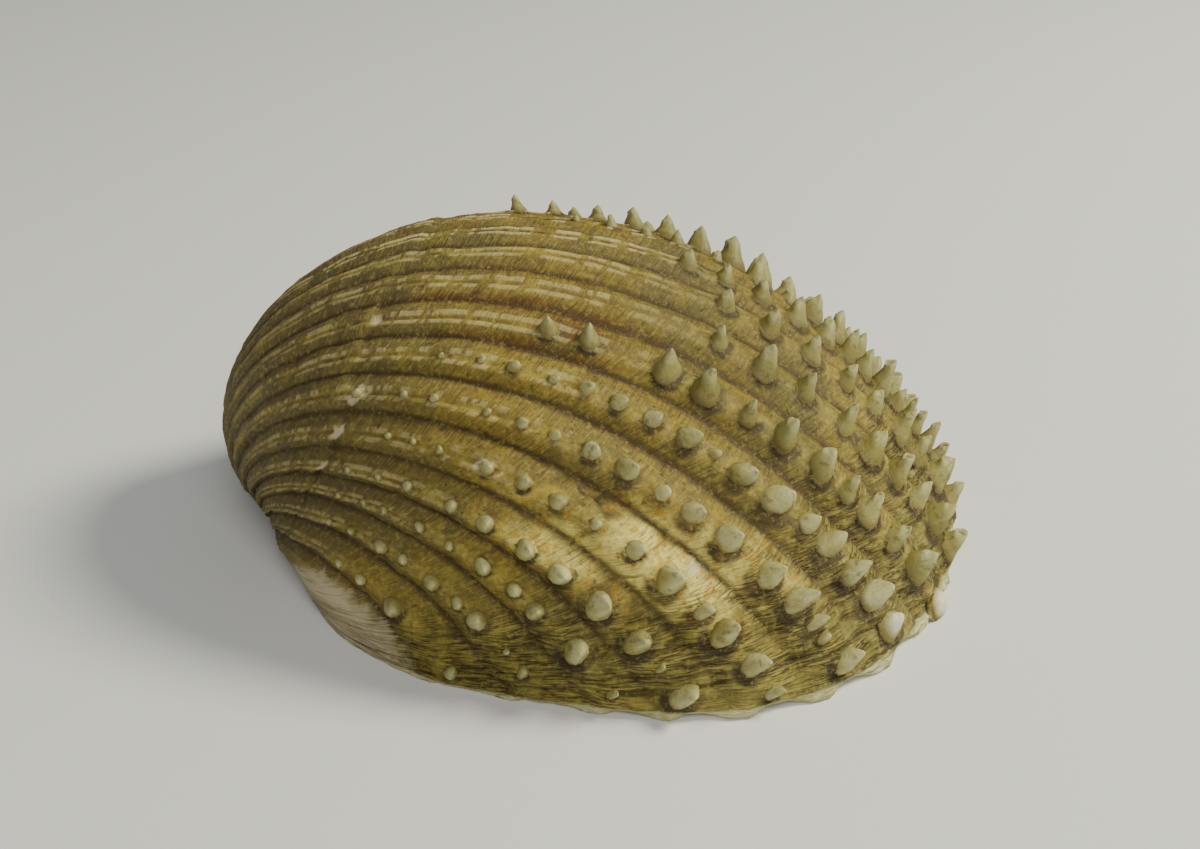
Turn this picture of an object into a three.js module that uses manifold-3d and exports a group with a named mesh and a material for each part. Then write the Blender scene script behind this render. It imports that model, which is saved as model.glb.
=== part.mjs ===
// Spiny cockle shell: one valve, lying hollow side down on its margin.
// Millimetres, +Z up. +X points from the beak to the ventral margin, and the commissure plane is z = 0.
//
// The valve is a growth spiral. The margin is a closed outline in a half-plane through the hinge axis
// (the Y axis before centring). Earlier margins are the same outline, shrunk, turned up round the hinge axis
// and twisted a little in their own plane, which curls the beak to the side.

import * as THREE from 'three';
import Module from 'manifold-3d';

// ---- driving dimensions ----
const LENGTH = 66.0;            // hinge axis to ventral margin, mm
const CENTRE_X = 0.4776;        // centre of the outline, in lengths from the hinge axis
const OUTLINE_COS = [0.5224, 0.0189, -0.0078, -0.0026, -0.0111, -0.0023, 0.0049];
const OUTLINE_SIN = [0.0, 0.0006, -0.0068];
const SHRINK_1 = 0.4802;        // growth spiral: size falls as exp(-SHRINK_1 a - SHRINK_2 a^2)
const SHRINK_2 = 0.0916;
const TWIST = -0.2879;          // turn of the outline in its own plane, per radian
const SHIFT = 0.0173;           // side shift, in lengths per radian
const TURN_FREE = 2.35;         // the beak turns freely up to here, radians
const TURN_END = 3.02;          // and closes in on this angle, so that it stays above the commissure plane
const AXIS_EASE = 0.02;         // keeps the dorsal edge clear of the hinge axis, in lengths
const GROOVE_DEPTH = 1.25;      // between the ribs, at the margin, mm
const WALL_MARGIN = 2.6;        // from a rib's crest to the inside, at the margin, mm
const WALL = 2.9;               // the same, higher up, mm
const HINGE_PLATE = 4.0;        // thickness of the hinge plate, mm
const CAVITY_ROUND = 1.55;      // the hollow starts to close here, radians
const CAVITY_END = 2.2;         // and ends here, radians
const ORIGIN_X = 29.62;         // centre of the finished shell's box, mm
const ORIGIN_Y = -0.13;

// crests of the ribs, as angles round the outline, from the hidden side to the near side
const RIBS = [2.42, 2.21, 2.0, 1.80, 1.58, 1.38, 1.18, 0.98, 0.78, 0.575, 0.345, 0.11,
  -0.13, -0.372, -0.582, -0.784, -0.986, -1.19, -1.352, -1.553, -1.79, -2.01];

// spines: rib angle, then growth angle, width across the rib and height, for each spine (radians, mm)
const SPINES = [
  [1.80, [[0.059, 2.51, 2.55], [0.103, 2.47, 2.58], [0.153, 2.47, 2.41], [0.212, 2.07, 1.85], [0.253, 2.35, 2.41], [0.318, 2.04, 1.95], [0.362, 2.18, 1.94], [0.431, 1.73, 1.65]]],
  [1.58, [[0.05, 2.36, 2.18], [0.108, 2.49, 2.52], [0.152, 2.11, 2.09], [0.214, 2.2, 2.18], [0.261, 2.19, 2.24], [0.316, 2.21, 1.97], [0.366, 1.96, 1.99], [0.446, 2.05, 1.86]]],
  [1.38, [[0.074, 2.1, 2.1], [0.105, 2.39, 2.18], [0.152, 2.1, 2.09], [0.218, 2.17, 2.05], [0.253, 2.09, 1.88], [0.317, 2.09, 2.0], [0.373, 2.18, 2.02], [0.45, 1.72, 1.69]]],
  [1.18, [[0.07, 2.51, 2.84], [0.104, 2.99, 4.04], [0.156, 2.61, 3.41], [0.194, 2.87, 3.81], [0.249, 2.72, 3.49], [0.318, 2.59, 2.98], [0.367, 2.45, 3.14], [0.433, 2.44, 2.86], [0.517, 1.86, 2.45], [0.578, 2.0, 2.64]]],
  [0.98, [[0.064, 2.91, 3.31], [0.104, 2.95, 4.03], [0.155, 2.76, 3.14], [0.205, 2.73, 3.21], [0.264, 2.79, 3.6], [0.327, 2.75, 3.47], [0.388, 2.11, 2.53], [0.433, 2.08, 2.69], [0.519, 1.82, 2.31], [0.575, 1.73, 2.19]]],
  [0.78, [[0.04, 2.88, 3.61], [0.09, 3.01, 3.98], [0.14, 2.87, 3.31], [0.19, 2.84, 3.77], [0.24, 2.38, 2.92], [0.3, 2.65, 3.1], [0.36, 2.41, 3.09], [0.43, 2.16, 2.94], [0.5, 2.12, 2.74], [0.57, 1.91, 2.38], [0.64, 1.79, 2.15]]],
  [0.575, [[0.035, 2.75, 3.58], [0.08, 2.58, 3.42], [0.13, 2.75, 3.75], [0.18, 2.43, 3.0], [0.235, 2.59, 3.51], [0.29, 2.54, 3.42], [0.351, 2.58, 3.28], [0.402, 2.33, 3.15], [0.474, 2.37, 2.97], [0.561, 2.09, 2.58], [0.639, 1.61, 1.99]]],
  [0.345, [[0.015, 2.55, 3.02], [0.049, 2.71, 3.31], [0.081, 2.97, 3.81], [0.118, 2.79, 3.26], [0.145, 2.54, 3.45], [0.177, 2.74, 3.18], [0.215, 2.92, 3.95], [0.258, 2.4, 3.21], [0.3, 2.79, 3.6], [0.35, 2.54, 3.05], [0.41, 2.54, 3.0], [0.48, 2.08, 2.39], [0.55, 1.9, 2.26]]],
  [0.11, [[0.045, 2.72, 3.52], [0.09, 2.98, 3.61], [0.14, 2.69, 3.38], [0.19, 2.96, 3.82], [0.25, 2.35, 2.72], [0.31, 2.28, 2.78], [0.38, 2.28, 3.0], [0.46, 2.16, 2.73], [0.54, 1.76, 2.36]]],
  [-0.13, [[0.04, 2.79, 3.29], [0.085, 2.92, 3.66], [0.13, 2.45, 3.14], [0.18, 2.64, 3.51], [0.235, 2.82, 3.27], [0.29, 2.3, 3.02], [0.37, 2.21, 3.01], [0.44, 2.36, 3.19], [0.52, 1.95, 2.45]]],
  [-0.372, [[0.014, 2.88, 3.6], [0.08, 3.07, 3.84], [0.133, 2.3, 2.88], [0.189, 2.5, 3.12], [0.232, 2.11, 2.64], [0.285, 2.69, 3.36], [0.354, 2.5, 3.12], [0.416, 1.92, 2.4], [0.489, 2.3, 2.88], [0.557, 2.11, 2.64], [0.692, 1.73, 2.16]]],
  [-0.582, [[0.05, 2.88, 2.07], [0.103, 3.07, 2.21], [0.148, 2.88, 2.07], [0.2, 2.69, 1.94], [0.243, 2.11, 1.52], [0.3, 2.78, 2.0], [0.362, 2.3, 1.66], [0.459, 2.21, 1.59], [0.519, 1.82, 1.31]]],
  [-0.784, [[0.046, 2.59, 1.87], [0.118, 1.92, 1.38], [0.159, 3.07, 2.21], [0.215, 2.69, 1.94], [0.294, 2.69, 1.94], [0.358, 2.21, 1.59], [0.48, 2.02, 1.45]]],
  [-0.986, [[0.091, 2.5, 1.8], [0.155, 2.98, 2.14], [0.202, 1.92, 1.38], [0.273, 2.59, 1.87], [0.347, 1.82, 1.31]]],
  [-1.19, [[0.054, 2.69, 1.94], [0.17, 2.69, 1.94], [0.26, 2.78, 2.0], [0.35, 2.02, 1.45], [0.429, 2.11, 1.52]]],
  [-1.352, [[0.163, 2.69, 1.94], [0.27, 2.02, 1.45]]],
  [-1.553, [[0.255, 2.11, 1.52]]],
  [-1.79, [[0.315, 2.11, 1.52]]],
];

// rows of the outside and the inside, as growth angles from the margin
const OUTER_ROWS = [0, 0.07, 0.17, 0.29, 0.42, 0.56, 0.71, 0.87, 1.04, 1.22, 1.42, 1.64, 1.88, 2.15, 2.45, 2.8, 3.25, 3.8];
const INNER_ROWS = [0, 0.15, 0.4, 0.68, 0.98, 1.28, 1.55, 1.82, 2.03, 2.15, 2.19];

// ---- growth spiral ----
function radius(th) {
  let r = 0;
  for (let i = 0; i < OUTLINE_COS.length; i++) r += OUTLINE_COS[i] * Math.cos(i * th);
  for (let i = 1; i < OUTLINE_SIN.length; i++) r += OUTLINE_SIN[i] * Math.sin(i * th);
  return r;
}

const shrink = (a) => Math.exp(-SHRINK_1 * a - SHRINK_2 * a * a);

function turn(a) {
  if (a <= TURN_FREE) return a;
  const room = TURN_END - TURN_FREE;
  return TURN_FREE + room * (1 - Math.exp(-(a - TURN_FREE) / room));
}

// a point of a section, given in its half-plane (distance from the hinge axis, along it), set in space
function place(gx, gy, a) {
  const w = TWIST * a;
  let x = gx * Math.cos(w) - gy * Math.sin(w);
  const y = gx * Math.sin(w) + gy * Math.cos(w) + SHIFT * a;
  return [x, y];
}

function toSpace(x, y, a) {
  const s = shrink(a) * LENGTH;
  const t = turn(a);
  return new THREE.Vector3(x * s * Math.cos(t), y * s, x * s * Math.sin(t));
}

const easeAxis = (x) => 0.5 * (x + Math.sqrt(x * x + 4 * AXIS_EASE * AXIS_EASE));

// height of the rib profile at an angle: 1 on a crest, 0 in a groove
function ribProfile(th) {
  for (let i = 0; i + 1 < RIBS.length; i++) {
    if (th <= RIBS[i] && th >= RIBS[i + 1]) {
      const half = (RIBS[i] - RIBS[i + 1]) / 2;
      const u = Math.min(RIBS[i] - th, th - RIBS[i + 1]) / half;
      return 1 - Math.pow(u, 2.2);
    }
  }
  return 1;
}

function outerPoint(th, a) {
  const fade = Math.min(1, Math.max(0, ((th > 0 ? 2.6 : 2.15) - Math.abs(th)) / 0.35));
  const r = radius(th) - (GROOVE_DEPTH / LENGTH) * fade * (1 - ribProfile(th));
  const [x, y] = place(CENTRE_X + r * Math.cos(th), r * Math.sin(th), a);
  return toSpace(easeAxis(x), y, a);
}

function innerPoint(th, a) {
  const s = shrink(a);
  const wall = (WALL_MARGIN + (WALL - WALL_MARGIN) * Math.min(1, a / 0.3)) / LENGTH / s;
  const r = radius(th) - wall;
  let [x, y] = place(CENTRE_X + r * Math.cos(th), r * Math.sin(th), a);
  const plate = HINGE_PLATE / LENGTH / s;
  const d = x - plate;
  x = plate + 0.5 * (d + Math.sqrt(d * d + 0.0009));
  if (a > CAVITY_ROUND) {
    // round off the end of the hollow towards the middle of the section
    const u = (a - CAVITY_ROUND) / (CAVITY_END - CAVITY_ROUND);
    const f = Math.sqrt(Math.max(0, 1 - u * u));
    const [mx, my] = place((1 + plate - wall) / 2, 0, a);
    x = mx + (x - mx) * f;
    y = my + (y - my) * f;
  }
  return toSpace(x, y, a);
}

// ---- columns ----
const outerAngles = [];
for (const th of [3.1416, 2.93, 2.76, 2.58]) outerAngles.push(th);
for (let i = 0; i < RIBS.length; i++) {
  outerAngles.push(RIBS[i]);
  if (i + 1 < RIBS.length) {
    const step = RIBS[i] - RIBS[i + 1];
    outerAngles.push(RIBS[i] - 0.27 * step, RIBS[i] - 0.5 * step, RIBS[i] - 0.73 * step);
  }
}
for (const th of [-2.15, -2.32, -2.51, -2.72, -2.93]) outerAngles.push(th);
const N = outerAngles.length - (outerAngles.length % 2);
while (outerAngles.length > N) outerAngles.splice(outerAngles.length - 3, 1);
const innerAngles = outerAngles.filter((_, i) => i % 2 === 0);
const M = innerAngles.length;

// ---- closed valve without spines ----
const points = [];
const faces = [];
const addPoint = (p) => points.push(p.x, p.y, p.z) / 3 - 1;
const outerRows = OUTER_ROWS.map((a) => outerAngles.map((th) => addPoint(outerPoint(th, a))));
const innerRows = INNER_ROWS.map((a) => innerAngles.map((th) => addPoint(innerPoint(th, a))));

function band(lower, upper, flip) {
  const n = lower.length;
  for (let i = 0; i < n; i++) {
    const j = (i + 1) % n;
    const quad = [[lower[i], lower[j], upper[j]], [lower[i], upper[j], upper[i]]];
    for (const [p, q, r] of quad) faces.push(...(flip ? [p, r, q] : [p, q, r]));
  }
}

function cap(loop, flip) {
  const c = new THREE.Vector3();
  for (const i of loop) c.add(new THREE.Vector3(points[3 * i], points[3 * i + 1], points[3 * i + 2]));
  c.divideScalar(loop.length);
  const k = addPoint(c);
  for (let i = 0; i < loop.length; i++) {
    const j = (i + 1) % loop.length;
    faces.push(...(flip ? [loop[i], k, loop[j]] : [loop[i], loop[j], k]));
  }
}

for (let r = 0; r + 1 < outerRows.length; r++) band(outerRows[r], outerRows[r + 1], true);
cap(outerRows[outerRows.length - 1], true);
for (let r = 0; r + 1 < innerRows.length; r++) band(innerRows[r], innerRows[r + 1], false);
cap(innerRows[innerRows.length - 1], false);

// the flat rim: two outer columns to each inner one
const rimOut = outerRows[0];
const rimIn = innerRows[0];
for (let i = 0; i < M; i++) {
  const o0 = rimOut[2 * i], o1 = rimOut[2 * i + 1], o2 = rimOut[(2 * i + 2) % N];
  const p0 = rimIn[i], p1 = rimIn[(i + 1) % M];
  faces.push(o0, o1, p0, o1, p1, p0, o1, o2, p1);
}

// ---- solids ----
const wasm = await Module();
wasm.setup();

function solid(vertices, triangles) {
  return new wasm.Manifold(new wasm.Mesh({
    numProp: 3,
    vertProperties: new Float32Array(vertices),
    triVerts: new Uint32Array(triangles),
  }));
}

let valve = solid(points, faces);

// a blunt four-sided spine standing on a rib's crest
function spine(th, a, width, height, lean, side) {
  const e = 1e-3;
  const p = outerPoint(th, a);
  const toMargin = outerPoint(th, Math.max(a - e, -0.002)).sub(outerPoint(th, a + e)).normalize();
  const across = outerPoint(th + e, a).sub(outerPoint(th - e, a));
  const n = new THREE.Vector3().crossVectors(toMargin, across).normalize();
  if (n.dot(new THREE.Vector3(p.x - 0.35 * LENGTH, p.y, p.z)) < 0) n.negate();
  const t = new THREE.Vector3().crossVectors(n, toMargin).normalize();
  if (t.dot(across) < 0) t.negate();
  const v = [];
  const ring = (along, sideways, up, shiftM, shiftT) => {
    for (const [i, j] of [[-1, -1], [1, -1], [1, 1], [-1, 1]]) {
      const q = p.clone()
        .addScaledVector(toMargin, i * along + shiftM)
        .addScaledVector(t, j * sideways + shiftT)
        .addScaledVector(n, up);
      v.push(q.x, q.y, Math.max(q.z, 0.25));
    }
  };
  ring(0.42 * width, 0.5 * width, -0.7, 0, 0);
  ring(0.16 * width, 0.3 * width, height, lean * height, side * height);
  const f = [];
  for (let i = 0; i < 4; i++) {
    const j = (i + 1) % 4;
    f.push(i, j, 4 + j, i, 4 + j, 4 + i);
  }
  f.push(0, 2, 1, 0, 3, 2, 4, 5, 6, 4, 6, 7);
  // keep the faces outward whichever way the local frame is handed
  const handed = new THREE.Vector3().crossVectors(toMargin, t).dot(n);
  if (handed < 0) for (let i = 0; i < f.length; i += 3) [f[i + 1], f[i + 2]] = [f[i + 2], f[i + 1]];
  return solid(v, f);
}

for (const [th, list] of SPINES) {
  const near = th < -0.45;
  for (const [a, width, height] of list) {
    if (a < 0.03 || width < 2.1) continue;
    valve = valve.add(spine(th, a, width, height, near ? 0.1 : -0.15, near ? 0.35 : 0.2));
  }
}

const out = valve.getMesh();
const geometry = new THREE.BufferGeometry();
geometry.setAttribute('position', new THREE.BufferAttribute(Float32Array.from(out.vertProperties), 3));
geometry.setIndex(Array.from(out.triVerts));
geometry.translate(-ORIGIN_X, -ORIGIN_Y, 0);
geometry.computeVertexNormals();

const shellMaterial = new THREE.MeshStandardMaterial({ color: 0xb39a5e, roughness: 0.75, metalness: 0.0 });
const shell = new THREE.Mesh(geometry, shellMaterial);
shell.name = 'shell_valve';

const group = new THREE.Group();
group.add(shell);
export default group;
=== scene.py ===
import math

import bpy
import numpy as np
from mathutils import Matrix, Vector, kdtree


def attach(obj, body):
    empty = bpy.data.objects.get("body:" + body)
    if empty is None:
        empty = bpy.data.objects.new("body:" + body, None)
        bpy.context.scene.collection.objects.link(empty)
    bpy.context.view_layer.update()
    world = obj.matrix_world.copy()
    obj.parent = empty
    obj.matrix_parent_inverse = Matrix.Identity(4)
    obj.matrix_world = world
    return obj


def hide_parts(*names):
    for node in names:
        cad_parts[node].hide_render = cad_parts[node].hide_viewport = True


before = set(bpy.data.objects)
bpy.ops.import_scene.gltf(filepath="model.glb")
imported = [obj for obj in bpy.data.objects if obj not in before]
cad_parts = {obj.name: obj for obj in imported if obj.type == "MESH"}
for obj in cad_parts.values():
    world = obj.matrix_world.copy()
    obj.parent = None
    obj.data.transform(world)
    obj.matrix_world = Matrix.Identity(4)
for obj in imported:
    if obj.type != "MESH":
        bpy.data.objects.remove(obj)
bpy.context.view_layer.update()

# ------------------------------------------------------------------ growth law (mm), the same as the solid's
LENGTH = 66.0
CENTRE_X = 0.4776
OUTLINE_COS = [0.5224, 0.0189, -0.0078, -0.0026, -0.0111, -0.0023, 0.0049]
OUTLINE_SIN = [0.0, 0.0006, -0.0068]
SHRINK_1, SHRINK_2 = 0.4802, 0.0916
TWIST, SHIFT = -0.2879, 0.0173
TURN_FREE, TURN_END = 2.35, 3.02
AXIS_EASE = 0.02
WALL_MARGIN, WALL, HINGE_PLATE = 2.6, 2.9, 4.0
CAVITY_ROUND, CAVITY_END = 1.55, 2.2
ORIGIN_X, ORIGIN_Y = 29.62, -0.13
GROOVE_DEPTH = 1.45
RIB_POWER = 1.75

RIBS = [2.42, 2.21, 2.0, 1.80, 1.58, 1.38, 1.18, 0.98, 0.78, 0.575, 0.345, 0.11,
        -0.13, -0.372, -0.582, -0.784, -0.986, -1.19, -1.352, -1.553, -1.79, -2.01]

# spines: rib angle, then growth angle, width across the rib and height (mm)
SPINES = [
    (1.80, [(.059, 2.51, 2.55), (.103, 2.47, 2.58), (.153, 2.47, 2.41), (.212, 2.07, 1.85), (.253, 2.35, 2.41), (.318, 2.04, 1.95), (.362, 2.18, 1.94), (.431, 1.73, 1.65)]),
    (1.58, [(.05, 2.36, 2.18), (.108, 2.49, 2.52), (.152, 2.11, 2.09), (.214, 2.2, 2.18), (.261, 2.19, 2.24), (.316, 2.21, 1.97), (.366, 1.96, 1.99), (.446, 2.05, 1.86), (.509, 1.6, 1.39), (.584, 1.43, 1.26)]),
    (1.38, [(.074, 2.1, 2.1), (.105, 2.39, 2.18), (.152, 2.1, 2.09), (.218, 2.17, 2.05), (.253, 2.09, 1.88), (.317, 2.09, 2.0), (.373, 2.18, 2.02), (.45, 1.72, 1.69), (.503, 1.6, 1.49), (.568, 1.58, 1.55), (.644, 1.37, 1.23), (.725, 1.24, 1.28), (.806, 1.12, 1.0)]),
    (1.18, [(.07, 2.51, 2.84), (.104, 2.99, 4.04), (.156, 2.61, 3.41), (.194, 2.87, 3.81), (.249, 2.72, 3.49), (.318, 2.59, 2.98), (.367, 2.45, 3.14), (.433, 2.44, 2.86), (.517, 1.86, 2.45), (.578, 2.0, 2.64), (.652, 1.74, 2.09), (.732, 1.3, 1.67), (.801, 1.24, 1.49)]),
    (0.98, [(.064, 2.91, 3.31), (.104, 2.95, 4.03), (.155, 2.76, 3.14), (.205, 2.73, 3.21), (.264, 2.79, 3.6), (.327, 2.75, 3.47), (.388, 2.11, 2.53), (.433, 2.08, 2.69), (.519, 1.82, 2.31), (.575, 1.73, 2.19), (.643, 1.56, 1.86), (.732, 1.27, 1.44), (.815, 1.37, 1.56)]),
    (0.78, [(.04, 2.88, 3.61), (.09, 3.01, 3.98), (.14, 2.87, 3.31), (.19, 2.84, 3.77), (.24, 2.38, 2.92), (.3, 2.65, 3.1), (.36, 2.41, 3.09), (.43, 2.16, 2.94), (.5, 2.12, 2.74), (.57, 1.91, 2.38), (.64, 1.79, 2.15), (.711, 1.37, 1.93), (.79, 1.22, 1.44), (.884, 1.08, 1.37), (.964, 1.12, 1.59)]),
    (0.575, [(.035, 2.75, 3.58), (.08, 2.58, 3.42), (.13, 2.75, 3.75), (.18, 2.43, 3.0), (.235, 2.59, 3.51), (.29, 2.54, 3.42), (.351, 2.58, 3.28), (.402, 2.33, 3.15), (.474, 2.37, 2.97), (.561, 2.09, 2.58), (.639, 1.61, 1.99), (.7, 1.63, 2.15), (.77, 1.25, 1.58), (.84, 1.13, 1.42)]),
    (0.345, [(.015, 2.55, 3.02), (.049, 2.71, 3.31), (.081, 2.97, 3.81), (.118, 2.79, 3.26), (.145, 2.54, 3.45), (.177, 2.74, 3.18), (.215, 2.92, 3.95), (.258, 2.4, 3.21), (.3, 2.79, 3.6), (.35, 2.54, 3.05), (.41, 2.54, 3.0), (.48, 2.08, 2.39), (.55, 1.9, 2.26), (.62, 1.79, 2.08)]),
    (0.11, [(.045, 2.72, 3.52), (.09, 2.98, 3.61), (.14, 2.69, 3.38), (.19, 2.96, 3.82), (.25, 2.35, 2.72), (.31, 2.28, 2.78), (.38, 2.28, 3.0), (.46, 2.16, 2.73), (.54, 1.76, 2.36)]),
    (-0.13, [(.04, 2.79, 3.29), (.085, 2.92, 3.66), (.13, 2.45, 3.14), (.18, 2.64, 3.51), (.235, 2.82, 3.27), (.29, 2.3, 3.02), (.37, 2.21, 3.01), (.44, 2.36, 3.19), (.52, 1.95, 2.45)]),
    (-0.372, [(.014, 2.88, 3.6), (.08, 3.07, 3.84), (.133, 2.3, 2.88), (.189, 2.5, 3.12), (.232, 2.11, 2.64), (.285, 2.69, 3.36), (.354, 2.5, 3.12), (.416, 1.92, 2.4), (.489, 2.3, 2.88), (.557, 2.11, 2.64), (.692, 1.73, 2.16), (.765, 1.54, 1.92)]),
    (-0.582, [(.05, 2.88, 2.07), (.103, 3.07, 2.21), (.148, 2.88, 2.07), (.2, 2.69, 1.94), (.243, 2.11, 1.52), (.3, 2.78, 2.0), (.362, 2.3, 1.66), (.412, 1.15, .83), (.459, 2.21, 1.59), (.519, 1.82, 1.31), (.579, 1.63, 1.18), (.636, 1.44, 1.04), (.692, .96, .69), (.769, 1.25, .9), (.833, .77, .55), (.915, .67, .48)]),
    (-0.784, [(.046, 2.59, 1.87), (.091, 1.34, .97), (.118, 1.92, 1.38), (.159, 3.07, 2.21), (.215, 2.69, 1.94), (.294, 2.69, 1.94), (.358, 2.21, 1.59), (.412, 1.54, 1.11), (.48, 2.02, 1.45), (.544, 1.73, 1.24), (.611, 1.15, .83), (.673, 1.25, .9), (.743, .86, .62), (.861, .86, .62), (.932, .77, .55), (1.056, .96, .69)]),
    (-0.986, [(.039, 1.73, 1.24), (.091, 2.5, 1.8), (.155, 2.98, 2.14), (.202, 1.92, 1.38), (.273, 2.59, 1.87), (.347, 1.82, 1.31), (.422, 1.15, .83), (.499, 1.63, 1.18), (.572, 1.63, 1.18), (.645, 1.34, .97), (.756, .86, .62), (.823, .77, .55), (.891, .77, .55)]),
    (-1.19, [(.054, 2.69, 1.94), (.112, 1.15, .83), (.17, 2.69, 1.94), (.26, 2.78, 2.0), (.35, 2.02, 1.45), (.429, 2.11, 1.52), (.529, 1.73, 1.24), (.613, 1.34, .97), (.735, 1.06, .76), (.82, .86, .62), (.923, .77, .55)]),
    (-1.352, [(.056, 1.25, .9), (.163, 2.69, 1.94), (.27, 2.02, 1.45), (.335, 1.44, 1.04), (.42, 1.63, 1.18), (.508, 1.15, .83), (.6, 1.06, .76), (.711, .86, .62), (.782, .77, .55), (.88, .77, .55)]),
    (-1.553, [(.099, 1.54, 1.11), (.155, .86, .62), (.255, 2.11, 1.52), (.317, 1.34, .97), (.401, 1.54, 1.11), (.51, 1.06, .76), (.589, 1.44, 1.04), (.711, .96, .69), (.814, .77, .55)]),
    (-1.79, [(.063, 1.54, 1.11), (.315, 2.11, 1.52), (.467, 1.34, .97), (.579, .96, .69)]),
]


def radius(t):
    r = sum(c * np.cos(i * t) for i, c in enumerate(OUTLINE_COS))
    return r + sum(s * np.sin(i * t) for i, s in enumerate(OUTLINE_SIN))


def shrink(a):
    return np.exp(-SHRINK_1 * a - SHRINK_2 * a * a)


def turn(a):
    room = TURN_END - TURN_FREE
    return np.where(a <= TURN_FREE, a, TURN_FREE + room * (1 - np.exp(-(np.maximum(a, TURN_FREE) - TURN_FREE) / room)))


def place(gx, gy, a):
    w = TWIST * a
    return gx * np.cos(w) - gy * np.sin(w), gx * np.sin(w) + gy * np.cos(w) + SHIFT * a


def to_space(x, y, a):
    s, t = shrink(a) * LENGTH, turn(a)
    return np.stack([x * s * np.cos(t) - ORIGIN_X, y * s - ORIGIN_Y, x * s * np.sin(t)], -1)


ASC = np.array(RIBS[::-1])


def rib_u(t):
    """0 on a rib's crest, 1 in the groove beside it, and the number of the nearest rib."""
    i = np.clip(np.searchsorted(ASC, t) - 1, 0, len(ASC) - 2)
    lo, hi = ASC[i], ASC[i + 1]
    u = np.minimum(t - lo, hi - t) / ((hi - lo) / 2)
    u = np.where((t < ASC[0]) | (t > ASC[-1]), 0.0, u)
    return np.clip(u, 0, 1), np.abs(t[..., None] - ASC).argmin(-1)


def rib_fade(t):
    return np.clip((np.where(t > 0, 2.6, 2.15) - np.abs(t)) / 0.35, 0, 1)


def step(x, lo, hi):
    v = np.clip((x - lo) / (hi - lo), 0, 1)
    return v * v * (3 - 2 * v)


def flattened(t, a):
    """The ribs stand lower near the margin, most of all on the near flank."""
    near = step(-t, 0.30, 0.75)
    return 1 - (0.36 + 0.38 * near) * (1 - step(a, 0.03, 0.16 + 0.20 * near))


def outer(t, a, depth=GROOVE_DEPTH, lift=0.0):
    u, _ = rib_u(t)
    r = radius(t) - depth / LENGTH * rib_fade(t) * flattened(t, a) * u ** RIB_POWER + lift / LENGTH
    x, y = place(CENTRE_X + r * np.cos(t), r * np.sin(t), a)
    return to_space(0.5 * (x + np.sqrt(x * x + 4 * AXIS_EASE ** 2)), y, a)


def inner(t, a, out=0.0):
    s = shrink(a)
    wall = (WALL_MARGIN + (WALL - WALL_MARGIN) * np.minimum(1, a / 0.3) - out) / LENGTH / s
    r = radius(t) - wall
    x, y = place(CENTRE_X + r * np.cos(t), r * np.sin(t), a)
    plate = HINGE_PLATE / LENGTH / s
    d = x - plate
    x = plate + 0.5 * (d + np.sqrt(d * d + 0.0009))
    u = np.clip((a - CAVITY_ROUND) / (CAVITY_END - CAVITY_ROUND), 0, 1)
    f = np.where(a > CAVITY_ROUND, np.sqrt(np.maximum(0, 1 - u * u)), 1.0)
    mx, my = place((1 + plate - wall) / 2, 0, a)
    return to_space(mx + (x - mx) * f, my + (y - my) * f, a)


# ------------------------------------------------------------------ repeatable noise
class Noise:
    def __init__(self, seed):
        self.table = np.random.RandomState(seed).rand(64, 64, 64) * 2 - 1

    def __call__(self, x, y, z=0.0):
        x, y, z = np.broadcast_arrays(np.asarray(x, float), np.asarray(y, float), np.asarray(z, float))
        i, j, k = np.floor(x).astype(int), np.floor(y).astype(int), np.floor(z).astype(int)
        f, g, h = x - i, y - j, z - k
        f, g, h = f * f * (3 - 2 * f), g * g * (3 - 2 * g), h * h * (3 - 2 * h)
        out = 0.0
        for di in (0, 1):
            for dj in (0, 1):
                for dk in (0, 1):
                    w = (f if di else 1 - f) * (g if dj else 1 - g) * (h if dk else 1 - h)
                    out = out + w * self.table[(i + di) % 64, (j + dj) % 64, (k + dk) % 64]
        return out


noise_a, noise_b, noise_c = Noise(3), Noise(11), Noise(29)

# ------------------------------------------------------------------ columns and rows of the outside
PER_HALF = 7
cols = []
for t in (3.1416, 3.04, 2.94, 2.84, 2.75, 2.67, 2.6, 2.54, 2.48):
    cols.append(t)
for i in range(len(RIBS) - 1):
    for j in range(2 * PER_HALF):
        cols.append(RIBS[i] + (RIBS[i + 1] - RIBS[i]) * j / (2 * PER_HALF))
for t in (-2.01, -2.04, -2.075, -2.11, -2.15, -2.19, -2.24, -2.29, -2.36, -2.44, -2.53, -2.63, -2.75, -2.88, -3.01):
    cols.append(t)
cols = np.array(cols)
if len(cols) % 2:
    cols = np.delete(cols, len(cols) - 2)
rows = np.concatenate([
    np.arange(0, 0.232, 0.0042), np.arange(0.235, 1.4, 0.0158), np.arange(1.4, 2.5, 0.032),
    np.arange(2.5, 3.3, 0.08), [3.35, 3.5, 3.7, 3.9]])
TH, AR = np.meshgrid(cols, rows)
U, K = rib_u(TH)
FADE = rib_fade(TH)

# the margin is cut in lobes, one to a rib
lobe = FADE * (0.0215 + 0.004 * noise_a(K * 3.7, 0.5)) * (1 - np.sin(0.5 * np.pi * np.clip((U + 0.07 * noise_b(TH * 6, 1.3) - 0.20) / 0.80, 0, 1)) ** 1.3)
lobe = lobe + 0.0018 * np.abs(noise_b(TH * 14, 0.3)) * FADE
rise = lobe * (1 - step(AR, 0.0, 0.16))
A = AR + rise
P = outer(TH, A)


def grid_normals(p, wrap=True):
    dt = (np.roll(p, -1, 1) - np.roll(p, 1, 1)) if wrap else np.gradient(p, axis=1)
    da = np.gradient(p, axis=0)
    n = np.cross(da, dt)
    n /= np.maximum(np.linalg.norm(n, axis=-1, keepdims=True), 1e-12)
    return n


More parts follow.
